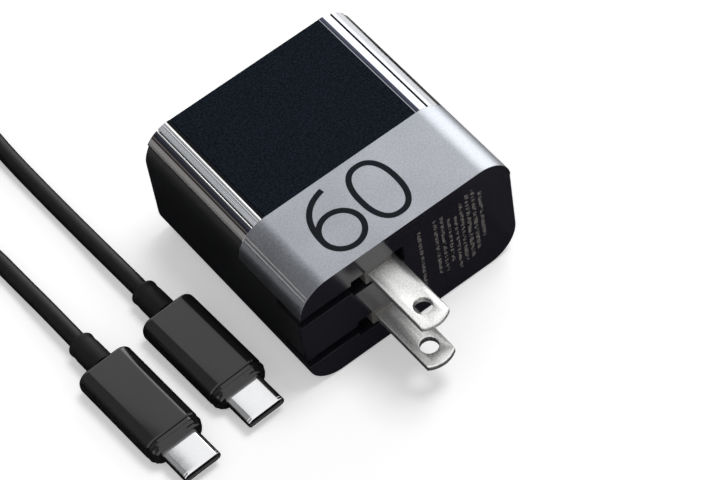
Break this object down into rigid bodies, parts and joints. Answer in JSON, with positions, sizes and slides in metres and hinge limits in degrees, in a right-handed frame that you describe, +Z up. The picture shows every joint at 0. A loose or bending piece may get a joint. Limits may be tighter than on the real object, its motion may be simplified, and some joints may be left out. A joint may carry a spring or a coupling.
{
  "type": "laptop power adapter",
  "caption": "Plug-in power adapter with folding flat blades, a silver cap, bright bars on its upper corners, a charging outlet and a separate lead with a plug at each end.",
  "frame": {"origin": "centre of the flat face that the adapter rests on", "axes": "+Z up through the panel side, -Y out of the blade face, +X to the right seen from the blade face"},
  "size_m": [0.1139, 0.1519, 0.0285],
  "materials": {
    "black_shell": "satin moulded polycarbonate",
    "face_black": "polished mould, black polycarbonate",
    "silver_cap": "satin silver skin",
    "navy_panel": "fine grained dark navy",
    "bright_bar": "polished bright bars",
    "blade_metal": "nickel plated",
    "hub_grey": "grey glass filled nylon",
    "inner_black": "plain moulded",
    "screw_steel": "zinc plated",
    "spring_steel": "rolled strip",
    "contact_bronze": "rolled bronze strip",
    "wire_sleeve": "red wire sleeve",
    "board_green": "glass epoxy board with green resist",
    "film": "milky polyester film",
    "spreader": "plain rolled sheet",
    "pad_grey": "soft filled pad",
    "chip_black": "moulded epoxy",
    "fuse_grey": "moulded box",
    "ferrite": "sintered ferrite",
    "film_capacitor": "yellow box",
    "capacitor_sleeve": "printed dark sleeve, left plain",
    "winding_tape": "copper under yellow tape",
    "bobbin_black": "phenolic",
    "outlet_steel": "drawn steel",
    "plug_steel": "drawn steel, nickel plated",
    "plug_black": "satin moulded boot",
    "relief_black": "soft moulded",
    "nose_black": "hard moulded ring",
    "cord_black": "satin jacket",
    "tie_black": "soft strap"
  },
  "bodies": {
    "adapter": {"main_housing": "black_shell", "front_cover": "face_black", "front_cap": "silver_cap", "top_panel": "navy_panel", "left_trim_inner": "bright_bar", "left_trim_outer": "bright_bar", "right_trim_inner": "bright_bar", "right_trim_outer": "bright_bar", "carrier_retainer": "inner_black", "retainer_screws": "screw_steel", "detent_spring": "spring_steel", "upper_contact": "contact_bronze", "lower_contact": "contact_bronze", "contact_lead": "wire_sleeve", "main_board": "board_green", "insulation_sheet": "film", "heat_spreader": "spreader", "thermal_pad": "pad_grey", "primary_switch": "chip_black", "fuse": "fuse_grey", "filter_choke": "ferrite", "choke_base": "bobbin_black", "filter_capacitor": "film_capacitor", "bridge_rectifier": "chip_black", "bulk_capacitor_front": "capacitor_sleeve", "bulk_capacitor_back": "capacitor_sleeve", "bulk_capacitor_side": "capacitor_sleeve", "transformer_core": "ferrite", "transformer_bobbin": "bobbin_black", "transformer_winding": "winding_tape", "transformer_base": "bobbin_black", "feedback_coupler": "chip_black", "output_board": "board_green", "sync_rectifier": "chip_black", "output_capacitor_left": "capacitor_sleeve", "output_capacitor_right": "capacitor_sleeve", "outlet_shell": "outlet_steel", "outlet_tongue": "bobbin_black", "cord_near_stretch": "cord_black", "cord_far_stretch": "cord_black", "cord_coil": "cord_black", "coil_tie": "tie_black", "near_plug_strain_relief": "relief_black", "near_plug_boot": "plug_black", "near_plug_nose_ring": "nose_black", "near_plug_shell": "plug_steel", "near_plug_contacts": "nose_black", "far_plug_strain_relief": "relief_black", "far_plug_boot": "plug_black", "far_plug_nose_ring": "nose_black", "far_plug_shell": "plug_steel", "far_plug_contacts": "nose_black"},
    "blades": {"blade_carrier": "hub_grey", "upper_blade": "blade_metal", "lower_blade": "blade_metal"}
  },
  "joints": [
    {"name": "blade_fold", "type": "hinge", "parent": "adapter", "child": "blades", "pos_m": [-0.0046, -0.0205, 0.0145], "axis": [0, 0, -1], "range_deg": [0, 90]}
  ]
}
